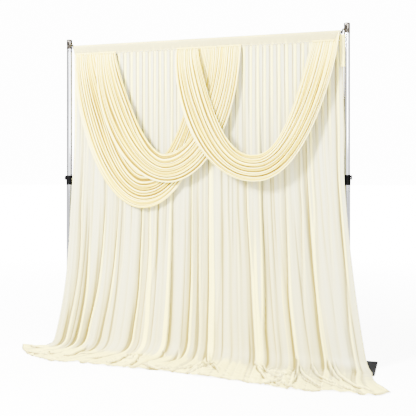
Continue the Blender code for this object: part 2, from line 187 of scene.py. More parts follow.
def copyOfNode(name, node, material, width):
    # a CAD solid with its hard edges broken
    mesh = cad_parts[node].data.copy()
    mesh.materials.clear()
    bm = bmesh.new()
    bm.from_mesh(mesh)
    bmesh.ops.remove_doubles(bm, verts=bm.verts, dist=1e-6)
    bmesh.ops.dissolve_limit(bm, angle_limit=math.radians(1), verts=bm.verts, edges=bm.edges)
    bm.to_mesh(mesh)
    bm.free()
    smoothMesh(mesh, 35)
    softEdges(addPiece(name, mesh, material, node), width)


def setValues(node, values):
    # a setting of the node itself, or else the value of a socket
    for key, value in values.items():
        if hasattr(node, key):
            setattr(node, key, value)
        else:
            node.inputs[key.replace("_", " ")].default_value = value


def joinNodes(tree, node, feeds):
    # feeds says which other node, and which of its outputs, each socket takes
    for socket, (source, output) in feeds.items():
        tree.links.new(source.outputs[output], node.inputs[socket])


def addNode(tree, kind, feeds=None, **values):
    node = tree.nodes.new("ShaderNode" + kind)
    setValues(node, values)
    joinNodes(tree, node, feeds or {})
    return node


def newMaterial(name, **values):
    material = bpy.data.materials.new(name)
    material.use_nodes = True
    shader = material.node_tree.nodes["Principled BSDF"]
    setValues(shader, values)
    return material, material.node_tree, shader


def colourRamp(tree, source, stops):
    ramp = addNode(tree, "ValToRGB", {"Fac": (source, "Fac")})
    ramp.color_ramp.interpolation = "EASE"
    for index, (place, colour) in enumerate(stops):
        if index < 2:
            stop = ramp.color_ramp.elements[index]
            stop.position = place
        else:
            stop = ramp.color_ramp.elements.new(place)
        stop.color = (*colour, 1.0)
    return ramp


def multiplied(tree, colour, shade):
    product = addNode(tree, "Mix", data_type="RGBA", blend_type="MULTIPLY")
    product.inputs[0].default_value = 1.0
    joinNodes(tree, product, {6: colour, 7: (shade, "Result")})
    return product


def clothMaterial(name, look):
    material, tree, shader = newMaterial(
        name, Roughness=look["roughness"], Sheen_Weight=look["sheen"], Sheen_Roughness=0.45,
        Specular_IOR_Level=look["shine"])
    # the painted shade value picks a colour: dark, saturated painted shade in creases up to a pale
    # painted highlight
    paintedShade = addNode(tree, "Attribute", attribute_name="paintedShade")
    ramp = colourRamp(tree, paintedShade, look["stops"])
    # a single layer is thinner and cooler than the doubled folds; its colour also paints shade on
    # the panel's right foot
    single = addNode(tree, "Attribute", attribute_name="single")
    thinner = addNode(tree, "Mix", {0: (single, "Fac"), 6: (ramp, "Color")}, data_type="RGBA")
    thinner.inputs[7].default_value = (*look["single"], 1.0)

    # broad, faint unevenness of the dye
    coords = addNode(tree, "TexCoord")
    place = {"Vector": (coords, "Object")}
    clouds = addNode(tree, "TexNoise", place, Scale=2.2, Detail=3.0)
    dye = addNode(tree, "MapRange", {"Value": (clouds, "Fac")}, To_Min=0.965, To_Max=1.02)
    dyed = multiplied(tree, (thinner, 2), dye)

    # the knit: ribs along the length and courses across them
    threads = addNode(tree, "UVMap", uv_map="threads")
    ribs, courses = (addNode(tree, "TexWave", {"Vector": (threads, "UV")}, wave_type="BANDS",
                             bands_direction=direction, wave_profile="SIN",
                             Scale=2 * math.pi / (20 * pitch), Distortion=0.6, Detail=1.0)
                     for direction, pitch in (("X", look["rib"]), ("Y", look["rib"] * 0.75)))
    knit = addNode(tree, "Math", {0: (ribs, "Fac"), 1: (courses, "Fac")}, operation="MULTIPLY")
    knitBump = addNode(tree, "Bump", {"Height": (knit, "Value")}, Strength=0.35, Distance=0.0003)
    creases = addNode(tree, "TexNoise", place, Scale=look["creaseScale"], Detail=4.0,
                      Roughness=0.55)
    creaseBump = addNode(tree, "Bump", {"Height": (creases, "Fac"), "Normal": (knitBump, "Normal")},
                         Strength=0.5, Distance=look["creaseDepth"])

    # the threads' faces are a little lighter than the gaps between them
    weave = addNode(tree, "MapRange", {"Value": (knit, "Value")}, To_Min=0.975, To_Max=1.01)
    woven = multiplied(tree, (dyed, 2), weave)
    joinNodes(tree, shader, {"Normal": (creaseBump, "Normal"), "Base Color": (woven, 2)})
    return material


def metalMaterial(name, look):
    material, tree, shader = newMaterial(name, Metallic=look["metallic"],
                                         Specular_IOR_Level=look["shine"])
    coords = addNode(tree, "TexCoord")
    stretch = addNode(tree, "Mapping", {"Vector": (coords, "Object")}, Scale=look["streak"])
    grain = addNode(tree, "TexNoise", {"Vector": (stretch, "Vector")}, Scale=1.0, Detail=5.0,
                    Roughness=0.6)
    smooth, dull = look["roughness"]
    rough = addNode(tree, "MapRange", {"Value": (grain, "Fac")}, To_Min=smooth, To_Max=dull)
    ramp = colourRamp(tree, grain, [(0.35, look["dark"]), (0.65, look["light"])])
    bump = addNode(tree, "Bump", {"Height": (grain, "Fac")}, Strength=0.2, Distance=look["bump"])
    joinNodes(tree, shader, {"Roughness": (rough, "Result"), "Base Color": (ramp, "Color"),
                             "Normal": (bump, "Normal")})
    return material


ivoryKnit = clothMaterial("ivoryKnit", {
    "roughness": 0.85, "sheen": 0.03, "shine": 0.10,
    "rib": 0.0011, "creaseScale": 26.0, "creaseDepth": 0.0012,
    "single": (0.55, 0.54, 0.355),
    # from the darkest painted shade to the palest painted highlight
    "stops": [(0.0, (0.19, 0.152, 0.025)), (0.30, (0.47, 0.402, 0.125)),
              (0.60, (0.545, 0.488, 0.185)), (1.0, (1.0, 0.905, 0.22))],
})
creamKnit = clothMaterial("creamKnit", {
    "roughness": 0.80, "sheen": 0.0, "shine": 0.05,
    "rib": 0.0011, "creaseScale": 30.0, "creaseDepth": 0.0010,
    "single": (0.90, 0.80, 0.30),
    # from the darkest painted shade to the palest painted highlight
    "stops": [(0.0, (0.17, 0.105, 0.0)), (0.28, (0.56, 0.415, 0.0)), (0.60, (0.86, 0.69, 0.0)),
              (1.0, (1.0, 0.94, 0.33))],
})
satinMetal = metalMaterial("satinMetal", {
    "metallic": 1.0, "streak": (60.0, 60.0, 2.0), "roughness": (0.05, 0.12),
    "dark": (0.56, 0.575, 0.62), "light": (0.70, 0.715, 0.76), "bump": 0.0001, "shine": 0.5,
})
tintedChrome = metalMaterial("tintedChrome", {
    "metallic": 1.0, "streak": (90.0, 90.0, 20.0), "roughness": (0.07, 0.15),
    "dark": (0.08, 0.068, 0.055), "light": (0.17, 0.15, 0.125), "bump": 0.0001, "shine": 0.5,
})
darkRim = metalMaterial("darkRim", {
    "metallic": 1.0, "streak": (90.0, 90.0, 20.0), "roughness": (0.20, 0.35),
    "dark": (0.012, 0.011, 0.010), "light": (0.030, 0.027, 0.025), "bump": 0.0001, "shine": 0.5,
})
blackPlastic = metalMaterial("blackPlastic", {
    "metallic": 0.0, "streak": (700.0, 700.0, 700.0), "roughness": (0.42, 0.60),
    "dark": (0.0006, 0.0006, 0.0007), "light": (0.0014, 0.0014, 0.0016), "bump": 0.0003,
    "shine": 0.03,
})
charcoalPaint = metalMaterial("charcoalPaint", {
    "metallic": 0.0, "streak": (500.0, 500.0, 500.0), "roughness": (0.45, 0.65),
    "dark": (0.010, 0.010, 0.010), "light": (0.016, 0.016, 0.017), "bump": 0.0004,
    "shine": 0.05,
})
print("materials made")


def nodeTube(node, bore, alongX=False):
    low, high = corners(node)
    half = (high - low) / 2
    middle = (high + low) / 2
    radius = half.z if alongX else half.x
    reach = half.x if alongX else half.z
    profile = [(bore, -reach), (radius, -reach), (radius, reach), (bore, reach)]
    turn = Matrix.Rotation(math.pi / 2, 4, "Y") if alongX else None
    mesh = placed(turnedMesh(node + "_tube", profile), middle, turn)
    softEdges(addPiece(node + "_tube", mesh, satinMetal, node), stand["edge"])


collar = {
    "step": 0.0016,      # the bore is wider below, where it grips the lower tube
    "stepDeep": 0.042,
    "foot": [            # how far inside the full radius, and how high above the foot
        (0.0026, 0.0), (0.0014, 0.003), (0.0012, 0.012), (0.0026, 0.0135), (0.0026, 0.0155),
        (0.0010, 0.017),
    ],
    "head": [            # the same, below the top
        (0.0002, 0.022), (0.0016, 0.0205), (0.0016, 0.0185), (0.0, 0.017), (0.0, 0.005),
        (0.0022, 0.0),
    ],
    "edge": 0.0005,
}


def buildCollar(side):
    node = f"lock_collar_{side}"
    low, high = corners(node)
    radius = (high.x - low.x) / 2
    bore = stand["lowerBore"]
    middle = (low + high) / 2
    inside = high.z - collar["stepDeep"]
    profile = [(bore + collar["step"], low.z)]
    profile += [(radius - inset, low.z + up) for inset, up in collar["foot"]]
    profile += [(radius - inset, high.z - down) for inset, down in collar["head"]]
    profile += [(bore, high.z), (bore, inside), (bore + collar["step"], inside)]
    mesh = placed(turnedMesh("collar", profile), (middle.x, middle.y, 0))
    softEdges(addPiece(node + "_sleeve", mesh, blackPlastic, node), collar["edge"])


knob = {
    "sides": 96,
    "flutes": 8,
    "fluteDeep": 0.05,
    "fluteFrom": 0.7,
    "rings": [           # share of the thickness, share of the radius, with a shallow dish
        (0.0, 0.60), (0.10, 0.78), (0.22, 0.96), (0.60, 1.00), (0.86, 0.95), (1.00, 0.80),
        (0.99, 0.62), (0.90, 0.55), (0.88, 0.30), (0.94, 0.16),
    ],
}


def buildKnob(side, sign):
    node = f"lock_knob_{side}"
    low, high = corners(node)
    grip = (high.z - low.z) / 2
    thick = high.x - low.x
    middle = (low + high) / 2
    sides = knob["sides"]
    bm = bmesh.new()
    loops = []
    for share, wide in knob["rings"]:
        loop = []
        for index in range(sides):
            turn = 2 * math.pi * index / sides
            flute = max(0.0, math.cos(knob["flutes"] * turn)) ** 2 * (wide > knob["fluteFrom"])
            reach = grip * wide * (1 - knob["fluteDeep"] * flute)
            loop.append(bm.verts.new((reach * math.cos(turn), reach * math.sin(turn),
                                      thick * share)))
        loops.append(loop)
    for first, second in zip(loops, loops[1:]):
        for index in range(sides):
            after = (index + 1) % sides
            bm.faces.new((first[index], first[after], second[after], second[index]))
    bm.faces.new(loops[0][::-1])
    bm.faces.new(loops[-1])
    start = low.x if sign > 0 else high.x
    outwards = Matrix.Rotation(sign * math.pi / 2, 4, "Y")
    mesh = placed(meshOf("knob", bm, 50), (start, middle.y, middle.z), outwards)
    addPiece(node + "_grip", mesh, blackPlastic, node)


cap = {
    "slotWide": 0.0080,
    "slotLow": 2.645,
    "slotHigh": 2.677,
    "slotDeep": 0.006,
    "slotSides": 24,
    "roof": 0.006,
    "spigot": 0.0216,
    "shoulder": 2.618,
    "rimBand": 0.0150,
    "groove": 0.0008,
    "rivet": [           # share of the radius, share of the thickness
        (0, 0), (1, 0), (1, 0.35), (0.86, 0.62), (0.70, 0.55), (0.62, 0.80), (0.35, 0.97), (0, 1),
    ],
}


def slotShape(x, y, alongX):
    # a slot with round ends, as a solid to cut with
    half = cap["slotWide"] / 2
    deep = cap["slotDeep"]
    bm = bmesh.new()
    loop = []
    for index in range(cap["slotSides"]):
        turn = 2 * math.pi * (index + 0.5) / cap["slotSides"]
        centre = cap["slotHigh"] - half if math.sin(turn) > 0 else cap["slotLow"] + half
        loop.append(bm.verts.new((half * math.cos(turn), -deep, centre + half * math.sin(turn))))
    face = bm.faces.new(loop)
    grown = bmesh.ops.extrude_face_region(bm, geom=[face])
    moved = [item for item in grown["geom"] if isinstance(item, bmesh.types.BMVert)]
    bmesh.ops.translate(bm, vec=(0, 2 * deep, 0), verts=moved)
    turn = Matrix.Rotation(math.pi / 2, 4, "Z") if alongX else None
    return inScene("slotShape", placed(meshOf("slotShape", bm), (x, y, 0), turn))


def buildCap(side, sign):
    node = f"slotted_cap_{side}"
    low, high = corners(node)
    radius = (high.x - low.x) / 2
    middle = (low + high) / 2
    bore = stand["capBore"]
    rim = cap["shoulder"]
    top = high.z
    roof = top - cap["roof"]
    groove = radius - cap["groove"]
    profile = [
        (bore, roof), (bore, low.z), (cap["spigot"], low.z), (cap["spigot"], rim),
        (radius - 0.0004, rim), (radius, rim + 0.0006), (radius, top - 0.0120),
        (groove, top - 0.0112), (groove, top - 0.0100), (radius, top - 0.0092),
        (radius, top - 0.0040), (radius - 0.0010, top - 0.0016), (radius - 0.0035, top - 0.0002),
        (0.0, top), (0.0, roof),
    ]
    body = inScene("cap", placed(turnedMesh("cap", profile), (middle.x, middle.y, 0)))
    wall = (radius + bore) / 2
    cutters = [slotShape(middle.x, middle.y - wall, False),
               slotShape(middle.x - sign * wall, middle.y, True)]
    for cutter in cutters:
        slot = body.modifiers.new("slot", "BOOLEAN")
        slot.operation = "DIFFERENCE"
        slot.object = cutter
    mesh = bpy.data.meshes.new_from_object(
        body.evaluated_get(bpy.context.evaluated_depsgraph_get()))
    for spare in [body, *cutters]:
        bpy.data.objects.remove(spare, do_unlink=True)
    mesh.materials.clear()
    addPiece(node + "_head", smoothMesh(mesh, 35), tintedChrome, node)
    mesh.materials.append(darkRim)
    for face in mesh.polygons:
        if face.center.z > top - cap["rimBand"]:
            face.material_index = 1


def buildRivet(side):
    node = f"cap_rivet_{side}"
    low, high = corners(node)
    wide = (high.x - low.x) / 2
    thick = high.y - low.y
    profile = [(wide * out, thick * up) for out, up in cap["rivet"]]
    mesh = placed(turnedMesh("rivet", profile, closed=False, sides=40),
                  ((low.x + high.x) / 2, high.y, (low.z + high.z) / 2),
                  Matrix.Rotation(math.pi / 2, 4, "X"))
    addPiece(node + "_head", mesh, darkRim, node)


for side, sign in (("left", -1), ("right", 1)):
    copyOfNode(f"base_plate_{side}_steel", f"base_plate_{side}", charcoalPaint,
               stand["plateEdge"])
    copyOfNode(f"bar_hook_{side}_plate", f"bar_hook_{side}", blackPlastic,
               stand["edge"])
    nodeTube(f"upright_lower_{side}", stand["lowerBore"])
    nodeTube(f"upright_upper_{side}", stand["upperBore"])
    buildCollar(side)
    buildKnob(side, sign)
    buildCap(side, sign)
    buildRivet(side)
    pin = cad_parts[f"base_pin_{side}"]
    pin.data.materials.clear()
    pin.data.materials.append(charcoalPaint)
nodeTube("crossbar", stand["barBore"], alongX=True)
print("stand made")


header = {
    # the rod pocket around the bar
    "end": 1.156,
    "barHeight": 2.6247,
    "arcRadius": 0.0204,
    "arcSteps": 30,
    "bottom": 2.5640,
    "seamTop": 2.576,
    "seamHalf": 0.0022,
    "seamStep": 0.004,
    "sideSteps": 10,
    "flare": 20,
    "cloth": 0.0016,
    "columns": 460,
    "gathers": (41, 67),
    "pucker": 0.0011,
    "flat": (2.312, 0.171),
}


def headerSection():
    # the middle line of the pocket's cloth from the front of the sewn edge round to its back
    radius = header["arcRadius"]
    height = header["barHeight"]
    half = header["seamHalf"] - header["cloth"] / 2
    flare = header["flare"]
    turns = np.radians(np.linspace(180 + flare, -flare, header["arcSteps"] + 1))
    arc = [(radius * math.cos(turn), height + radius * math.sin(turn)) for turn in turns]
    points = [(-half, header["bottom"] + header["seamStep"] * index) for index in range(3)]
    points.append((-half, header["seamTop"]))
    for index in range(1, header["sideSteps"]):
        share = index / header["sideSteps"]
        points.append((-half + (arc[0][0] + half) * share,
                       header["seamTop"] + (arc[0][1] - header["seamTop"]) * share))
    points += arc
    back = [(-y, z) for y, z in points[:3 + header["sideSteps"]]]
    return np.array(points + back[::-1])


def buildHeader():
    section = headerSection()
    x = np.broadcast_to(np.linspace(-header["end"], header["end"], header["columns"]),
                        (len(section), header["columns"]))
    y = np.broadcast_to(section[:, :1], x.shape).copy()
    z = np.broadcast_to(section[:, 1:], x.shape)
    low = 1 - ease((z - header["bottom"] - header["seamStep"]) / 0.045)
    along = 2 * np.pi * (x / header["flat"][0] + 0.5)
    wide, narrow = header["gathers"]
    gather = (np.sin(wide * along + 0.7 * np.sin(9 * x))
              + 0.6 * np.sin(narrow * along + 1.3 * np.sin(5 * x)))
    slack = 0.0006 * np.sin(7.3 * x + 40 * z) + 0.0004 * np.sin(17.0 * x - 60 * z + 1.0)
    away = ease((z - header["seamTop"]) / 0.012)
    free = 1 - ease((z - header["barHeight"] + 0.012) / 0.010)
    out = 0.0006 + 0.35 * slack + header["pucker"] * 0.35 * low * (1 + gather)
    y += np.sign(y) * away * free * out
    # painted shade between the gathers and a painted highlight on the shoulder over the bar
    shoulder = bell(z - header["barHeight"] - 0.012, 0.007)
    paintedShade = 0.61 + 0.13 * gather * low + 60 * slack + 0.20 * shoulder
    piece = addCloth("header_pocket", np.stack([x, y, z], -1), header["flat"], header["cloth"],
                     ivoryKnit, paintedShade)


buildHeader()
print("rod pocket made")


panel = {
    "cloth": 0.0010,
    "left": -1.156,
    "right": 1.154,
    "top": 2.5632,
    "pleats": 41,
    "columns": 480,
    "rows": (46, 16, 42),         # hanging, round the bend, on the floor
    "flat": (3.05, 3.05),
    "gentle": (0.017, 0.034),     # how wide a crease is on its gentle side, high and low
    "steep": (0.0055, 0.0080),
    "floorShare": 0.45,
    "thinCreases": 62,
    "wrinkleSteps": 14,
    "far": 9.0,                   # further than any point of the train lies from a wrinkle
    "fluff": 0.010,               # how high the train's plain parts lie above its hollows
    "plateThick": 0.006,
    "plateHalf": 0.225,
    "plateClear": 0.0030,
    "solidCloth": 0.002,
    "underside": 0.00035,         # how high the solid's underside lies above the floor
    "bend": (0.15, 0.10),         # where the cloth meets the floor, in the middle and at the sides
    "lean": 0.055,                # how far forward it hangs by the floor, and more at its two feet
    "feetForward": 0.045,
    "rightOut": 0.024,
    "rightIn": 0.040,
    "scallops": (0.011, 0.006),
    "crease": {
        "full": 0.020,            # the depth that gives the full painted shade
        "most": 1.25,
        "edge": (2.2, 1.5),       # place and width of the painted highlight on the edge, in steep sides
        "lip": 0.22,
        # the painted shade of the core as a sum: weight, shares of the gentle and of the steep side
        "core": [(0.42, 0.26, 0.70), (0.36, 0.66, 0.75), (0.26, 1.4, 0.75)],
        "powers": (0.7, 0.7),     # of the painted shade and of the painted highlight
    },
    "out": {"small": 0.0015, "broad": 0.002, "thin": 0.0035},
    # height of the train's bumps, and shares of a wrinkle's depth that it rises and sinks
    "up": {"bumps": 0.015, "ridge": 1.1, "hollow": 0.9},
    "shade": {
        # how much lighter or darker each form is painted: painted shade and painted highlight
        "plain": 0.56, "dark": 0.74, "bright": 0.46, "thin": 0.56, "doubled": 0.54, "nip": 0.62,
        "small": 0.06, "broad": 0.03, "floor": 0.54, "floorRight": 0.16, "bumps": 1.05,
        "ridge": 52, "hollow": 210, "hem": 0.70, "rightFoot": 0.22,
    },
}
creaseHeights = (1.25, 0.80, 0.50, 0.27)
creases = [
    # X at the four heights, depth above and below, the side with the upper edge (1 is right)
    (-1.075, -1.085, -1.120, -1.165, 0.018, 0.018, 1),
    (-1.000, -1.015, -1.035, -1.070, 0.006, 0.030, 1),
    (-0.860, -0.895, -0.935, -0.990, 0.018, 0.038, 1),
    (-0.770, -0.795, -0.800, -0.830, 0.010, 0.002, 1),
    (-0.735, -0.770, -0.810, -0.855, 0.015, 0.022, 1),
    (-0.685, -0.700, -0.740, -0.770, 0.007, 0.006, 1),
    (-0.520, -0.535, -0.550, -0.580, 0.022, 0.034, 1),
    (-0.455, -0.460, -0.485, -0.510, 0.016, 0.008, 1),
    (-0.375, -0.390, -0.425, -0.430, 0.018, 0.003, -1),
    (-0.320, -0.325, -0.330, -0.340, 0.008, 0.001, -1),
    (-0.245, -0.250, -0.255, -0.260, 0.015, 0.024, -1),
    (-0.080, -0.080, -0.085, -0.095, 0.024, 0.030, 1),
    (-0.020, -0.015, -0.010, -0.005, 0.014, 0.018, 1),
    (0.030, 0.035, 0.035, 0.040, 0.008, 0.004, 1),
    (0.070, 0.075, 0.075, 0.070, 0.012, 0.020, 1),
    (0.185, 0.185, 0.180, 0.160, 0.012, 0.006, -1),
    (0.245, 0.265, 0.270, 0.275, 0.008, 0.006, -1),
    (0.325, 0.350, 0.360, 0.365, 0.013, 0.004, -1),
    (0.395, 0.425, 0.440, 0.455, 0.020, 0.020, 1),
    (0.525, 0.545, 0.555, 0.555, 0.022, 0.024, -1),
    (0.600, 0.625, 0.645, 0.665, 0.010, 0.006, -1),
    (0.665, 0.700, 0.735, 0.760, 0.001, 0.010, 1),
    (0.720, 0.735, 0.745, 0.770, 0.018, 0.022, 1),
    (0.845, 0.855, 0.860, 0.875, 0.014, 0.003, 1),
    (0.905, 0.935, 0.965, 0.990, 0.020, 0.026, 1),
    (0.965, 0.980, 0.990, 1.010, 0.008, 0.003, -1),
    (1.065, 1.085, 1.105, 1.120, 0.006, 0.004, 1),
    (1.155, 1.190, 1.210, 1.225, 0.020, 0.022, 1),
]
stripes = [
    # narrow folds that lie on top: X at the four heights, half width and lift above and below
    (-0.445, -0.440, -0.450, -0.460, 0.007, 0.020, 0.004, 0.007),
    (0.095, 0.103, 0.110, 0.108, 0.022, 0.024, 0.007, 0.008),
    (0.680, 0.690, 0.710, 0.740, 0.002, 0.016, 0.000, 0.006),
    (0.470, 0.472, 0.480, 0.500, 0.004, 0.020, 0.002, 0.006),
    (0.945, 0.955, 0.985, 1.020, 0.007, 0.014, 0.004, 0.006),
    (-0.270, -0.272, -0.280, -0.295, 0.004, 0.014, 0.002, 0.005),
]
relief = [
    # distance below the pocket, relief of the sewn pleats, share of the creases' depth
    (0.00, 0.0030, 0.05), (0.06, 0.0060, 0.10), (0.20, 0.0058, 0.22), (0.50, 0.0042, 0.50),
    (0.90, 0.0028, 0.85), (1.30, 0.0012, 1.00), (2.00, 0.0006, 1.00), (2.60, 0.0003, 0.90),
]
pleatShift = [
    # place across the cloth, how far a sewn pleat lies from even spacing
    (0.00, 0.000), (0.20, 0.020), (0.30, 0.022), (0.365, -0.005), (0.45, -0.003), (0.70, 0.000),
    (0.80, 0.008), (0.87, 0.030), (1.00, 0.000),
]
spread = [
    # place across the cloth, how far the fold drifts sideways by the floor, how late it does
    (0.00, -0.17, 4.5), (0.14, -0.15, 4.5), (0.28, -0.11, 4.0), (0.55, 0.00, 3.3),
    (0.75, 0.12, 2.8), (0.90, 0.20, 2.4), (1.00, 0.222, 2.2),
]
hem = [
    # place across the cloth, X and Y of the hem on the floor
    (0.00, -1.6415, -0.060), (0.03, -1.530, -0.235), (0.07, -1.378, -0.371),
    (0.14, -1.173, -0.486), (0.20, -1.025, -0.509), (0.27, -0.850, -0.488),
    (0.37, -0.520, -0.540), (0.46, -0.230, -0.535), (0.53, 0.055, -0.578),
    (0.65, 0.490, -0.650), (0.76, 0.790, -0.722), (0.83, 0.980, -0.750),
    (0.88, 1.127, -0.731), (0.92, 1.265, -0.700), (0.965, 1.420, -0.735),
    (0.985, 1.510, -0.690), (1.00, 1.5645, -0.615),
]
heaps = [
    # X, Y, radius and height of the places where the train lies crumpled
    (-0.50, -0.29, 0.10, 0.018), (0.14, -0.42, 0.12, 0.020), (0.75, -0.45, 0.14, 0.022),
]
wrinkles = [
    # creases in the train: X and Y at the start, middle and end, width, depth
    (-1.53, -0.10, -1.40, -0.17, -1.27, -0.12, 0.016, 0.008),
    (-1.44, -0.31, -1.35, -0.33, -1.24, -0.33, 0.014, 0.007),
    (-1.27, -0.24, -1.20, -0.29, -1.10, -0.19, 0.014, 0.008),
    (-1.08, -0.33, -1.02, -0.26, -0.99, -0.08, 0.016, 0.010),
    (-0.86, -0.38, -0.77, -0.30, -0.70, -0.16, 0.014, 0.008),
    (-0.64, -0.46, -0.57, -0.40, -0.53, -0.22, 0.014, 0.012),
    (-0.47, -0.52, -0.43, -0.46, -0.415, -0.36, 0.014, 0.012),
    (-0.48, -0.30, -0.46, -0.22, -0.465, -0.13, 0.012, 0.010),
    (-0.355, -0.39, -0.22, -0.50, -0.10, -0.49, 0.014, 0.012),
    (-0.17, -0.08, -0.18, -0.27, -0.29, -0.42, 0.018, 0.014),
    (-0.30, -0.09, -0.28, -0.20, -0.33, -0.31, 0.015, 0.010),
    (-0.06, -0.53, -0.02, -0.50, 0.03, -0.43, 0.012, 0.009),
    (0.07, -0.55, 0.13, -0.44, 0.19, -0.24, 0.016, 0.014),
    (0.05, -0.47, 0.06, -0.36, 0.08, -0.22, 0.013, 0.009),
    (0.08, 0.00, 0.12, -0.20, 0.27, -0.45, 0.014, 0.012),
    (0.53, -0.22, 0.58, -0.38, 0.67, -0.57, 0.014, 0.011),
    (0.57, -0.18, 0.61, -0.31, 0.67, -0.44, 0.012, 0.009),
    (0.60, -0.37, 0.64, -0.31, 0.67, -0.24, 0.013, 0.010),
    (0.71, -0.66, 0.75, -0.63, 0.79, -0.58, 0.013, 0.011),
    (0.81, 0.00, 0.85, -0.28, 0.88, -0.53, 0.014, 0.013),
    (0.86, -0.16, 0.93, -0.41, 1.11, -0.65, 0.015, 0.012),
    (0.94, -0.10, 1.02, -0.33, 1.18, -0.55, 0.015, 0.010),
    (1.04, 0.04, 1.11, -0.24, 1.20, -0.45, 0.016, 0.013),
    (1.11, -0.08, 1.22, -0.42, 1.43, -0.64, 0.017, 0.013),
    (1.20, -0.58, 1.27, -0.64, 1.34, -0.70, 0.013, 0.012),
    (-0.61, -0.48, -0.56, -0.39, -0.51, -0.24, 0.011, 0.009),
    (-0.63, -0.39, -0.56, -0.27, -0.49, -0.16, 0.011, 0.007),
    (-0.43, -0.52, -0.42, -0.43, -0.44, -0.25, 0.011, 0.008),
    (0.08, -0.57, 0.15, -0.48, 0.19, -0.31, 0.011, 0.010),
    (0.02, -0.42, 0.05, -0.30, 0.08, -0.18, 0.011, 0.007),
    (0.13, -0.18, 0.19, -0.30, 0.30, -0.50, 0.011, 0.008),
    (0.48, -0.12, 0.54, -0.23, 0.61, -0.34, 0.011, 0.009),
    (0.69, -0.69, 0.74, -0.64, 0.80, -0.69, 0.011, 0.012),
    (0.80, -0.63, 0.85, -0.68, 0.90, -0.71, 0.011, 0.012),
    (0.69, -0.49, 0.76, -0.53, 0.82, -0.45, 0.010, 0.007),
    (0.88, -0.65, 0.89, -0.52, 0.85, -0.30, 0.012, 0.009),
    (0.92, -0.45, 1.00, -0.56, 1.10, -0.66, 0.011, 0.007),
    (1.04, -0.44, 1.13, -0.55, 1.24, -0.65, 0.011, 0.007),
    (-1.43, -0.31, -1.25, -0.30, -1.11, -0.18, 0.011, 0.006),
    (-1.01, -0.30, -0.91, -0.20, -0.82, -0.12, 0.011, 0.006),
    (-0.29, -0.48, -0.19, -0.51, -0.10, -0.45, 0.011, 0.008),
    (-0.07, -0.53, -0.01, -0.46, 0.03, -0.36, 0.011, 0.007),
]


def hangLine(across, height):
    drop = (panel["top"] - height) / panel["top"]
    late = through(spread, 2, across)
    x = panel["left"] + (panel["right"] - panel["left"]) * across
    x = x + through(spread, 1, across) * np.maximum(drop, 0) ** late
    out = ease((across - 0.95) / 0.05) * ease(drop / 0.05) * (1 - ease((drop - 0.25) / 0.20))
    x = x + panel["rightOut"] * out
    left = ease((0.12 - across) / 0.12) * ease((drop - 0.25) / 0.32)
    right = ease((across - 0.88) / 0.12) * ease(drop / 0.35)
    forward = panel["lean"] * np.maximum(drop, 0) ** 3 + panel["feetForward"] * (left + right)
    return np.stack([x, -0.001 - forward, height + 0 * x], -1)


def restingHeight(x, y):
    near = np.zeros_like(x)
    for pole in (-stand["poleX"], stand["poleX"]):
        reach = np.maximum(np.abs(x - pole), np.abs(y)) - panel["plateHalf"]
        near = np.maximum(near, ease(1 - reach / 0.06))
    over = sum(height * bell(np.hypot(x - hx, y - hy), radius) for hx, hy, radius, height in heaps)
    lift = panel["plateThick"] + panel["plateClear"]
    return panel["solidCloth"] / 2 + panel["underside"] + near * lift + over


def trainSurface(across, row):
    middle, sides = panel["bend"]
    bend = middle + (sides - middle) * np.abs(2 * across - 1)
    height = panel["top"] + (bend - panel["top"]) * np.clip(row, 0, 1)
    hanging = hangLine(across, height)
    foot = hangLine(across, 0 * across)
    wide, narrow = panel["scallops"]
    scallop = (wide * np.sin(2 * np.pi * 11 * across + 0.6) * np.sin(2 * np.pi * 3.1 * across)
               + narrow * np.sin(2 * np.pi * 26 * across + 3 * np.sin(14 * across)))
    edge = np.stack([through(hem, 1, across), through(hem, 2, across) + scallop, 0 * across], -1)
    run = edge - foot
    length = np.linalg.norm(run, axis=-1)
    start = foot + run * (bend / length)[..., None]
    turn = np.clip(row - 1, 0, 1)[..., None]
    bent = (1 - turn) ** 2 * hanging + 2 * turn * (1 - turn) * foot + turn**2 * start
    lie = np.clip(row - 2, 0, 1)[..., None]
    flat = start + (edge - start) * lie
    # the right edge runs forward past the plate before it turns outwards
    flat[..., 0] -= panel["rightIn"] * ease((across - 0.86) / 0.14) * np.sin(np.pi * lie[..., 0])
    surface = np.where(row[..., None] > 2, flat, np.where(row[..., None] > 1, bent, hanging))
    surface[..., 2] += ease(row - 0.9) * restingHeight(surface[..., 0], surface[..., 1])
    return surface


def trough(offset, gentle, steep):
    # cloth that runs gently down into a crease and comes steeply out of it
    return np.exp(-np.where(offset < 0, offset / gentle, offset / steep) ** 2)


def crease(offset, depth, gentle, steep, look):
    # a crease's hollow, the lip beside it, the painted shade of its core and the painted highlight
    # on its upper edge
    strong = np.clip(depth / look["full"], 0, look["most"])
    place, width = look["edge"]
    edge = bell(offset - place * steep, width * steep)
    core = sum(weight * trough(offset, far * gentle, near * steep)
               for weight, far, near in look["core"])
    darkPower, brightPower = look["powers"]
    return (depth * trough(offset, gentle, steep), look["lip"] * depth * edge,
            strong ** darkPower * core, strong ** brightPower * edge)


def placeAcross(xs, height):
    # where a line through those X places lies across the cloth, at any height
    fine = np.linspace(0, 1, 400)
    table = [(level, np.interp(x, hangLine(fine, np.full_like(fine, level))[:, 0], fine))
             for x, level in zip(xs, creaseHeights)]
    return through(table[::-1], 1, height)


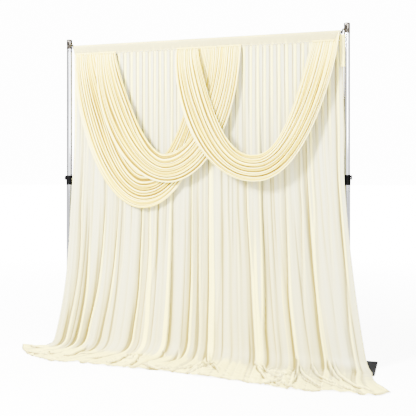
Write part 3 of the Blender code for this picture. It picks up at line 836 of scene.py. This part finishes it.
def foldPattern(across, row, height):
    below = panel["top"] - height
    wide = panel["right"] - panel["left"]
    low = ease((creaseHeights[0] + 0.15 - height) / 1.1)
    share = through(relief, 2, below) * (1 - (1 - panel["floorShare"]) * ease((row - 1.5) / 1.3))
    gentle, steep = (high + (lower - high) * low for high, lower in
                     (panel["gentle"], panel["steep"]))
    parts = np.zeros((4,) + across.shape)
    for *xs, upper, lower, side in creases:
        offset = side * (across - placeAcross(xs, height)) * wide
        depth = (upper + (lower - upper) * low) * share
        parts = np.maximum(parts, crease(offset, depth, gentle, steep, panel["crease"]))
    hollow, lip, dark, bright = parts
    cream = np.zeros_like(across)
    for *xs, wideHigh, wideLow, liftHigh, liftLow in stripes:
        half = wideHigh + (wideLow - wideHigh) * low
        offset = (across - placeAcross(xs, height)) * wide
        band = ease((half + 0.004 - np.abs(offset)) / 0.008) * ease(below / 0.9)
        lip = np.maximum(lip, (liftHigh + (liftLow - liftHigh) * low) * band * share)
        cream = np.maximum(cream, band * np.clip(half / 0.012, 0, 1))

    # the sewn pleats: a doubled strip on top of the single cloth, with a thin crease beside it
    wander = 0.0010 * ease(below / 0.6) * np.sin(2.1 * height + 31 * across)
    turn = panel["pleats"] * (across + wander - through(pleatShift, 1, across) / wide)
    uneven = 0.6 + 0.4 * np.sin(2.7 * np.floor(turn + 0.2) + 1.0)
    turn = turn - np.floor(turn)
    doubled = ease(turn / 0.08) * (1 - ease((turn - 0.30) / 0.14))
    nip = bell(turn - 0.91, 0.10)
    sewn = through(relief, 1, below)
    pleat = np.clip(sewn / 0.006, 0, 1)

    # soft folds between the creases, which come and go down the cloth
    lower = ease((below - 0.25) / 0.9)
    drift = 0.35 * np.sin(1.3 * height + 17 * across) + 0.25 * np.sin(2.9 * height - 29 * across)
    comes = 0.5 + 0.5 * np.sin(23 * across + 1.9 * height)
    goes = 0.5 + 0.5 * np.sin(37 * across - 1.2 * height + 2.0)
    small = (np.sin(2 * np.pi * (46 * across + drift)) * comes
             + 0.7 * np.sin(2 * np.pi * (79 * across - 0.8 * drift) + 1.1) * goes)
    broad = np.sin(2 * np.pi * (9 * across + 0.3 * drift)) * lower
    thin = np.zeros_like(across)
    for index in range(panel["thinCreases"]):
        place = (index + 0.5 + 0.4 * np.sin(2.4 * index)) / panel["thinCreases"]
        place = place + 0.0022 * np.sin(1.7 * height + 1.9 * index)
        comes = ease(0.5 + 0.75 * np.sin(2.3 * height + 2.1 * index)) * lower
        comes = comes * (0.35 + 0.65 * abs(math.sin(1.7 * index)))
        offset = (1 if index % 2 else -1) * (across - place) * wide
        thin = np.maximum(thin, comes * trough(offset, 0.012, 0.0045))

    push = panel["out"]
    out = (lip - hollow + sewn * (doubled - 0.35 - 0.7 * uneven * nip)
           + push["small"] * lower * small + push["broad"] * broad - push["thin"] * thin)
    # painted shade in the creases is stronger round the bend, most of all at the left side
    darker = ease((row - 0.85) / 0.3) * (1 - ease((row - 1.6) / 0.5))
    darker = 1 + darker * (0.20 + 0.9 * (1 - ease((across - 0.13) / 0.08)))
    # painted shade in creases, thin creases and beside the sewn pleats; painted highlight on the
    # creases' edges, on the strips that lie on top and on the doubled pleats; soft painted shading
    # of the small and broad folds
    tone = panel["shade"]
    shade = (tone["plain"] - tone["dark"] * dark * darker
             + (1 - dark) * (tone["bright"] * (bright + cream) - tone["thin"] * thin)
             + pleat * (tone["doubled"] * doubled - tone["nip"] * (1 + uneven) * nip)
             + tone["small"] * lower * small + tone["broad"] * broad)
    single = (pleat * (1 - doubled) * (1 - nip)
              + 0.58 * lower * (1 - cream) * (1 - bright) * (1 - thin)
              * np.clip(1 - 1.8 * dark, 0, 1))
    return out, shade, single


def trainWrinkles(x, y, row):
    # the listed creases of the train, each with a ridge beside it
    hollow, ridge = np.zeros_like(x), np.zeros_like(x)
    share = np.linspace(0, 1, panel["wrinkleSteps"] + 1)
    # how much of its start, middle and end point each point of a wrinkle takes
    weights = np.stack([(1 - share) * (1 - 2 * share), 4 * share * (1 - share),
                        share * (2 * share - 1)], -1)
    for *places, width, depth in wrinkles:
        curve = weights @ np.reshape(places, (3, 2))
        nearest, offset = np.full((2,) + x.shape, panel["far"])
        for index, (px, py) in enumerate(curve[:-1]):
            dx, dy = curve[index + 1] - curve[index]
            reach = np.clip(((x - px) * dx + (y - py) * dy) / (dx * dx + dy * dy), 0, 1)
            away = np.hypot(x - px - reach * dx, y - py - reach * dy)
            left = np.sign(dx * (y - py) - dy * (x - px))
            along = (index + reach) / panel["wrinkleSteps"]
            fade = np.sin(math.pi * (0.08 + 0.84 * along)) ** 0.5
            closer = away < nearest
            nearest = np.where(closer, away, nearest)
            offset = np.where(closer, left * away / fade, offset)
        hollow = np.maximum(hollow, depth * trough(offset, 0.8 * width, 0.45 * width))
        ridge = np.maximum(ridge, depth * bell(offset - 1.1 * width, 0.7 * width))
    lying = ease((row - 1.15) / 0.5)
    return hollow * lying, ridge * lying


def crumpled(x, y, row):
    # short curved folds where the cloth lies loose on the floor, most of all in the heaps
    loose = 0.12 * ease((row - 1.5) / 0.9) + 0.20 * ease((row - 2.55) / 0.35)
    for hx, hy, radius, height in heaps:
        loose = loose + 0.8 * bell(np.hypot(x - hx, y - hy), 1.1 * radius)
    loose = np.clip(loose, 0, 1) * ease((row - 1.25) / 0.5)
    a = np.sin(19 * x + 9 * np.sin(3.1 * x + 5 * y) + 15 * y)
    b = np.sin(38 * y - 13 * x + 3.0 * np.sin(7 * x - 4 * y) + 1.3)
    c = np.sin(53 * x + 23 * y + 2.2 * np.sin(13 * x + 11 * y))
    ridge = (0.9 * (1 - np.abs(a)) ** 2.5 + 1.0 * (1 - np.abs(b)) ** 2.2
             + 0.45 * (1 - np.abs(c)) ** 1.8)
    return loose * ridge, loose


def buildPanel():
    hang, bend, floor = panel["rows"]
    rows = np.concatenate([np.linspace(0, 1, hang) ** 1.15,
                           1 + np.linspace(0, 1, bend + 1)[1:],
                           2 + np.linspace(0, 1, floor + 1)[1:]])
    row, across = grid(rows, np.linspace(0, 1, panel["columns"]))
    middle = trainSurface(across, row)
    out, shade, single = foldPattern(across, row, middle[..., 2])
    facing = gridNormals(middle)
    facing[0] = (0, -1, 0)
    folded = middle + facing * out[..., None]
    folded[0, :, 2] = panel["top"]
    x, y = middle[..., 0], middle[..., 1]
    bumps, loose = crumpled(x, y, row)
    hollow, ridge = trainWrinkles(x, y, row)
    lying = ease((row - 1.0) / 0.8)
    rise = panel["up"]
    folded[..., 2] += (lying * panel["fluff"] + rise["bumps"] * bumps + rise["ridge"] * ridge
                       - rise["hollow"] * hollow)
    # the hem stands a little off the floor in places
    end = ease((row - 2.86) / 0.14)
    stands = (1 + np.sin(2 * np.pi * 13 * across + 2)) / 2
    folded[..., 2] -= end * (0.55 * panel["fluff"] * stands)
    below = row > 1
    folded[below, 2] = np.maximum(folded[below, 2], middle[below, 2])
    # painted light: the cloth that lies on the floor is painted lighter and creamier, the change
    # coming later on the right
    later = ease((across - 0.60) / 0.15)
    onFloor = ease((row - 1.45 - 0.25 * later) / (0.6 + 0.7 * later))
    tone = panel["shade"]
    shade = shade + (tone["floor"] + tone["floorRight"] * later) * onFloor
    # painted highlight on the crumples and the wrinkles' ridges, painted shade where the cloth lies
    # loose and in the wrinkles' hollows
    shade = shade + tone["bumps"] * (bumps - 0.45 * loose)
    shade = shade + tone["ridge"] * ridge - tone["hollow"] * hollow
    # the hem's edge turns under, with painted shade along it, darker in places
    turned = 0.45 + 0.55 * ease(0.5 + np.sin(2 * np.pi * 17 * across) * np.sin(61 * across + 1))
    shade = shade - tone["hem"] * ease((row - 2.925) / 0.03) * turned
    # painted shade on the right foot, which leans away from the light, partly in the single layer's
    # cooler colour
    away = bell(across - 0.935, 0.035) * bell(row - 1.25, 0.45)
    shade = shade - tone["rightFoot"] * away
    single = single * (1 - onFloor) + 0.6 * away
    piece = addCloth("panel", folded, panel["flat"], panel["cloth"], ivoryKnit,
                     shade, single)


buildPanel()
print("panel made")


swagLook = {
    "cloth": 0.0010,
    "top": 2.5633,
    "columns": 190,
    "steps": 150,
    "cornerRise": 0.076,
    "cornerStart": 0.80,
    "cornerOut": 0.018,
    "gentle": 0.019,
    "steep": 0.0058,
    "fineGathers": 33,
    "creaseAt": (-0.55, 0.0, 0.55),   # where a crease's three places and depths are given
    "crease": {                       # as for the panel
        "full": 0.0085,
        "most": 1.15,
        "edge": (1.6, 0.9),
        "lip": 0.30,
        "core": [(0.50, 0.34, 0.8), (0.34, 0.75, 0.9), (0.24, 1.3, 1.0)],
        "powers": (0.8, 0.6),
    },
    "shade": {
        # how much lighter or darker each form is painted: painted shade and painted highlight
        "plain": 0.60, "dark": 0.94, "bright": 0.70, "fine": 0.74, "fineBright": 0.66,
        "edging": 0.34, "ends": 0.14,
    },
}
tape = {
    "cloth": 0.0008,
    "wide": 0.012,
    "rows": 9,
    "column": 0.0011,                 # width of a column, and the least number of them
    "columnsLeast": 40,
    "gathers": (0.0095, 0.0057),      # pitches
    "front": 0.0012,
    "deep": 0.0007,
    "slack": 1.3,                     # length of the cloth in a metre of tape
}
swags = {
    # Each edge: X at the left end, the bottom and the right end, and the height of the bottom.
    # Each arm: power of the hanging curve, and how much of an ellipse is in it, inner and outer.
    # Depth: at the left end, at the bottom, at the right end, and how late it grows.
    # Corner: 1 where the outer right corner is sewn higher up, over the pocket's end.
    # Each crease: its place from the inner to the outer edge in the left arm, at the bottom and
    # in the right arm, then its depth in millimetres at the same three.
    "swag_long": {
        "inner": (-0.938, -0.4805, -0.003, 1.600), "outer": (-1.150, -0.4965, 0.143, 1.2315),
        "leftArm": (1.8, 0.0, 0.85), "rightArm": (2.6, 0.0, 0.85),
        "depth": (0.0095, 0.060, 0.0095, 0.70), "bulge": 0.018,
        "phase": 0.3, "flat": (0.38, 2.75), "pale": 0.91, "lift": 0.0, "corner": 0,
        "creases": [
            (0.05, 0.08, 0.10, 3, 9, 6), (0.13, 0.17, 0.22, 10, 8, 8), (0.23, 0.28, 0.34, 11, 10, 5),
            (0.31, 0.38, 0.44, 6, 10, 8), (0.38, 0.47, 0.53, 8, 9, 7), (0.46, 0.53, 0.60, 7, 3, 4),
            (0.54, 0.60, 0.67, 11, 10, 8), (0.62, 0.67, 0.74, 5, 4, 6), (0.69, 0.74, 0.80, 5, 9, 8),
            (0.77, 0.82, 0.86, 9, 7, 4), (0.86, 0.90, 0.93, 5, 2, 6),
        ],
    },
    "swag_middle": {
        "inner": (-0.7595, -0.2865, 0.149, 1.682), "outer": (-0.934, -0.2565, 0.3515, 1.446),
        "leftArm": (1.75, 0.0, 1.0), "rightArm": (2.4, 0.9, 1.0),
        "depth": (0.0130, 0.100, 0.0130, 0.48), "bulge": 0.024,
        "phase": 1.7, "flat": (0.36, 2.35), "pale": 0.94, "lift": 0.04, "corner": 0,
        "creases": [
            (0.10, 0.16, 0.10, 11, 9, 8), (0.22, 0.31, 0.24, 10, 9, 10), (0.36, 0.40, 0.37, 6, 3, 5),
            (0.48, 0.49, 0.50, 9, 11, 10), (0.60, 0.64, 0.62, 5, 8, 6), (0.71, 0.72, 0.72, 8, 3, 5),
            (0.82, 0.82, 0.83, 6, 9, 9), (0.92, 0.93, 0.93, 8, 6, 7),
        ],
    },
    "swag_right": {
        "inner": (-0.0085, 0.4875, 0.9325, 1.666), "outer": (-0.206, 0.4905, 1.150, 1.455),
        "leftArm": (2.3, 0.1, 1.0), "rightArm": (2.3, 0.0, 0.5),
        "depth": (0.0130, 0.152, 0.0095, 0.45), "bulge": 0.026,
        "phase": 4.1, "flat": (0.36, 2.55), "pale": 0.94, "lift": 0.16, "corner": 1,
        "creases": [
            (0.05, 0.13, 0.14, 6, 9, 7), (0.15, 0.22, 0.28, 7, 2, 8), (0.28, 0.33, 0.40, 8, 11, 10),
            (0.41, 0.49, 0.53, 9, 9, 6), (0.56, 0.64, 0.66, 8, 11, 10), (0.68, 0.73, 0.78, 8, 2, 7),
            (0.79, 0.82, 0.87, 9, 10, 10), (0.90, 0.93, 0.94, 12, 3, 6),
        ],
    },
}


def hangingArm(share, power, roundShare):
    ellipse = 1 - np.sqrt(np.clip(1 - share**2, 0, 1))
    return (1 - roundShare) * share**power + roundShare * ellipse


def swagStrand(swag, across):
    inner, outer = np.array(swag["inner"]), np.array(swag["outer"])
    left, low, right, bottom = inner + (outer - inner) * across
    start = swagLook["cornerStart"]
    corner = swag["corner"] * ease((across - start) / (1 - start))
    leftDepth, lowDepth, rightDepth, late = swag["depth"]
    ends = [(left, swag["leftArm"], 0.0, leftDepth),
            (right, swag["rightArm"], swagLook["cornerRise"] * corner,
             rightDepth + swagLook["cornerOut"] * corner)]
    points = []
    for end, (power, innerRound, outerRound), rise, depth in ends:
        share = np.sin(np.linspace(0, math.pi / 2, 400))
        roundShare = innerRound + (outerRound - innerRound) * across
        x = low + (end - low) * share
        z = bottom + (swagLook["top"] + rise - bottom) * hangingArm(share, power, roundShare)
        along = np.concatenate([[0], np.cumsum(np.hypot(np.diff(x), np.diff(z)))])
        along /= along[-1]
        even = np.linspace(0, 1, swagLook["steps"] // 2 + 1)
        slack = 1 - even
        out = depth + (lowDepth - depth) * slack ** late
        out = out + swag["bulge"] * slack * math.sin(math.pi * across)
        points.append(np.stack([np.interp(even, along, x), -out, np.interp(even, along, z)], -1))
    return np.concatenate([points[0][::-1], points[1][1:]])


def buildSwag(name):
    swag = swags[name]
    across = np.linspace(0, 1, swagLook["columns"] + 1)
    surface = np.stack([swagStrand(swag, value) for value in across], 1)
    length, width = grid(np.linspace(-1, 1, swagLook["steps"] + 1), across)
    slack = 1 - np.abs(length)
    phase = swag["phase"]
    wide = np.linalg.norm(surface[:, -1] - surface[:, 0], axis=-1)[:, None]
    wander = (0.007 * np.sin(5.1 * length + 9 * width + phase)
              + 0.005 * np.sin(11 * length - 14 * width + 2 * phase)) * ease(slack / 0.2)
    free = 0.30 + 0.70 * ease(slack / 0.42)
    squeeze = np.clip(wide / 0.30, 0.6, 1.1)
    gentle, steep = swagLook["gentle"] * squeeze, swagLook["steep"] * squeeze
    parts = np.zeros((4,) + width.shape)
    for index, places in enumerate(swag["creases"]):
        narrow = 0.82 + 0.22 * math.sin(2.6 * index + phase)
        table = list(zip(swagLook["creaseAt"], places[:3], places[3:]))
        offset = (width + wander - through(table, 1, length)) * wide / narrow
        depth = 0.001 * np.maximum(through(table, 2, length), 0) * free
        parts = np.maximum(parts, crease(offset, depth, gentle, steep, swagLook["crease"]))
    hollow, lip, dark, bright = parts

    # fine gathers between the creases, most of all near the sewn ends, which come and go, each with
    # painted shade in it and a painted highlight beside it
    fine, fineBright = np.zeros_like(width), np.zeros_like(width)
    number = swagLook["fineGathers"]
    for index in range(number):
        place = (index + 0.5 + 0.45 * np.sin(2.4 * index + phase)) / number
        place = place + 0.010 * np.sin(4 * length + 1.9 * index)
        offset = (width + wander - place) * wide
        comes = np.clip(0.52 + 0.78 * np.sin(3.1 * length + 2.1 * index + phase), 0.03, 1)
        comes = comes * (1 - 0.20 * ease((slack - 0.25) / 0.4))
        fine = np.maximum(fine, comes * trough(offset, 0.0052 * squeeze, 0.0026))
        fineBright = np.maximum(fineBright, comes * bell(offset - 0.0046, 0.0024))
    gathers = 0.0030 * (fine - 0.4)
    edging = 1 - ease(np.minimum(width, 1 - width) / 0.035)
    surface[..., 1] -= lip - hollow - gathers * (1 - edging)
    blend = 0.09 * np.sin(31 * width + 2 * length + phase) + 0.06 * np.sin(53 * width - 3 * length)
    # painted shade in the creases and fine gathers, painted highlight on the creases' edges, beside
    # the gathers and along the rolled edges except near the bottom of the outer edge; lighter near
    # the sewn ends and, by the swag's lift, on the right arm
    tone = swagLook["shade"]
    paintedShade = (tone["plain"] + blend - tone["dark"] * dark + swag["lift"] * ease(length / 0.4)
            + (1 - dark) * (tone["bright"] * bright - tone["fine"] * fine
                            + tone["fineBright"] * fineBright)
            + tone["edging"] * edging * (1 - 0.75 * (width > 0.5) * ease(slack / 0.5))
            + tone["ends"] * (1 - ease(slack / 0.22)))
    pale = (0.8 * ease((width - swag["pale"]) / 0.03) * (1 - dark)
            * ease((np.abs(length + 0.1) - 0.12) / 0.3))
    piece = addCloth(name, surface, swag["flat"], swagLook["cloth"], creamKnit,
                     paintedShade, pale)


def buildTape(name, side):
    # the gathered end, sewn flat against the pocket's edge
    node = f"{name}_tape_{side}"
    low, high = corners(node)
    left, right = low.x - stand["shift"][0], high.x - stand["shift"][0]
    front = low.y - stand["shift"][1]
    columns = max(tape["columnsLeast"], int((right - left) / tape["column"]))
    down, x = grid(np.linspace(0, 1, tape["rows"]), np.linspace(left, right, columns))
    wide, narrow = (2 * np.pi * x / pitch for pitch in tape["gathers"])
    gathers = 1.2 * np.sin(wide + 1.3 * np.sin(31 * x)) + 0.5 * np.sin(narrow + 2 * np.sin(19 * x))
    y = (front + tape["front"] + tape["deep"] * gathers * (0.35 + 0.65 * down)
         + 0.0016 * (1 - down) ** 2)
    z = high.z + (low.z - high.z) * down + 0.0004 * gathers * (1 - down)
    flat = (tape["slack"] * (right - left), tape["wide"])
    # painted shade in the gathers' hollows, lighter on their tops
    piece = addCloth(node, np.stack([x, y, z], -1), flat, tape["cloth"], creamKnit,
                     0.75 - 0.22 * gathers)


for name in swags:
    for side in ("left", "right"):
        buildTape(name, side)
    buildSwag(name)
print("swags made")


flap = {
    # the short strip at the pocket's right end
    "left": 1.150,
    "right": 1.188,
    "top": 2.607,
    "bottom": 2.355,
    "front": 0.0172,
    "turnsOut": 0.0065,
    "cloth": 0.0010,
    "rows": 70,
    "columns": 24,
    "flat": (0.039, 0.252),
}


def buildFlap():
    down, side = grid(np.linspace(0, 1, flap["rows"]), np.linspace(0, 1, flap["columns"]))
    x = flap["left"] + (flap["right"] - flap["left"]) * side
    z = flap["top"] + (flap["bottom"] - flap["top"]) * down
    y = -(flap["front"] + flap["turnsOut"] * side + 0.002 * np.sin(np.pi * side))
    y = y - 0.0008 * np.sin(5 * down + 3 * side) * down
    paintedShade = 0.88 + 0.12 * np.sin(6 * side + 3 * down)
    piece = addCloth("end_flap", np.stack([x, y, z], -1), flap["flat"], flap["cloth"], ivoryKnit,
                     paintedShade)


buildFlap()
print("flap made")


studio = {
    "floorSize": 400.0,
    "floorColours": ((0.66, 0.66, 0.66), (0.70, 0.70, 0.70)),
    "floorGlow": (8.6, 15.0),        # under the stand, and from some way off
    "paper": 14.5,
    "room": (0.15, 4.6),             # the light of the room's back and front
    "ceiling": 3.0,
    "frontWay": (0.295, -0.955, 0.0),
}
lights = [
    # name, place, aims at, width, watts
    ("keyLeft", (-2.8, -5.2, 4.8), (0.0, 0.2, 1.2), 1.6, 4200),
    ("fillRight", (4.4, -5.0, 3.0), (0.2, 0.2, 1.2), 2.0, 420),
    ("backHigh", (0.6, 3.6, 6.6), (0.0, 0.0, 1.3), 3.0, 560),
]


def buildFloor():
    half = studio["floorSize"] / 2
    mesh = bpy.data.meshes.new("floor")
    mesh.from_pydata([(-half, -half, 0), (half, -half, 0), (half, half, 0), (-half, half, 0)],
                     [], [(0, 1, 2, 3)])
    material, tree, shader = newMaterial("paleFloor", Roughness=0.9, Specular_IOR_Level=0.1,
                                         Emission_Color=(1.0, 1.0, 0.995, 1.0))
    # the floor looks white to the lens without lighting the cloth from below
    place = {"Vector": (addNode(tree, "TexCoord"), "Object")}
    away = addNode(tree, "VectorMath", place, operation="LENGTH")
    near, far = studio["floorGlow"]
    level = addNode(tree, "MapRange", {"Value": (away, "Value")}, From_Min=2.0, From_Max=9.0,
                    To_Min=near, To_Max=far)
    path = addNode(tree, "LightPath")
    glow = addNode(tree, "Math", {0: (path, "Is Camera Ray"), 1: (level, "Result")},
                   operation="MULTIPLY")
    clouds = addNode(tree, "TexNoise", place, Scale=0.8, Detail=2.0)
    ramp = colourRamp(tree, clouds, list(zip((0.3, 0.7), studio["floorColours"])))
    joinNodes(tree, shader, {"Emission Strength": (glow, "Value"), "Base Color": (ramp, "Color")})
    mesh.materials.append(material)
    inScene("floor", mesh)


def buildLights():
    world = bpy.data.worlds.new("studio")
    bpy.context.scene.world = world
    world.use_nodes = True
    tree = world.node_tree
    # a pale room in front of the stand, dark beside and behind it, which gives the tubes their
    # dark edges, under a pale ceiling
    way = {0: (addNode(tree, "TexCoord"), "Generated")}
    split = addNode(tree, "SeparateXYZ", way)
    front = addNode(tree, "VectorMath", way, operation="DOT_PRODUCT")
    front.inputs[1].default_value = studio["frontWay"]
    dark, pale = studio["room"]
    depth = addNode(tree, "MapRange", {"Value": (front, "Value")}, From_Min=0.30, From_Max=0.97,
                    To_Min=dark, To_Max=pale)
    above = addNode(tree, "MapRange", {"Value": (split, "Z")}, From_Min=0.35, From_Max=0.9,
                    To_Min=0.0, To_Max=studio["ceiling"])
    both = addNode(tree, "Math", {0: (depth, "Result"), 1: (above, "Result")},
                   operation="MAXIMUM")
    light = tree.nodes["Background"]
    setValues(light, {"Color": (1.0, 1.0, 1.0, 1.0)})
    joinNodes(tree, light, {"Strength": (both, "Value")})
    # the paper behind is white to the lens, brighter than the light it gives the cloth
    seen = addNode(tree, "Background", Color=(1.0, 1.0, 1.0, 1.0), Strength=studio["paper"])
    path = addNode(tree, "LightPath")
    mix = addNode(tree, "MixShader", {0: (path, "Is Camera Ray"), 1: (light, "Background"),
                                      2: (seen, "Background")})
    joinNodes(tree, tree.nodes["World Output"], {"Surface": (mix, "Shader")})
    for name, place, aim, wide, watts in lights:
        data = bpy.data.lights.new(name, "AREA")
        data.shape = "RECTANGLE"
        data.size = data.size_y = wide
        data.energy = watts
        lamp = inScene(name, data)
        lamp.location = place
        lamp.rotation_euler = (Vector(aim) - Vector(place)).to_track_quat("-Z", "Y").to_euler()


camera = {
    "place": (1.7715, -5.7335, 1.467),   # in the stand's own frame
    "yaw": 16.56,
    "lens": 62.4,
    "shiftY": -0.0673,
    "sensor": 36.0,
    "clip": 1000.0,
}


def buildCamera():
    data = bpy.data.cameras.new("camera")
    data.sensor_width = camera["sensor"]
    data.lens = camera["lens"]
    data.shift_y = camera["shiftY"]
    data.clip_end = camera["clip"]
    eye = inScene("camera", data)
    eye.location = toRow(camera["place"])
    eye.rotation_euler = (math.pi / 2, 0.0, math.radians(camera["yaw"]))
    bpy.context.scene.camera = eye


buildFloor()
buildLights()
buildCamera()
print("floor, light and camera made")
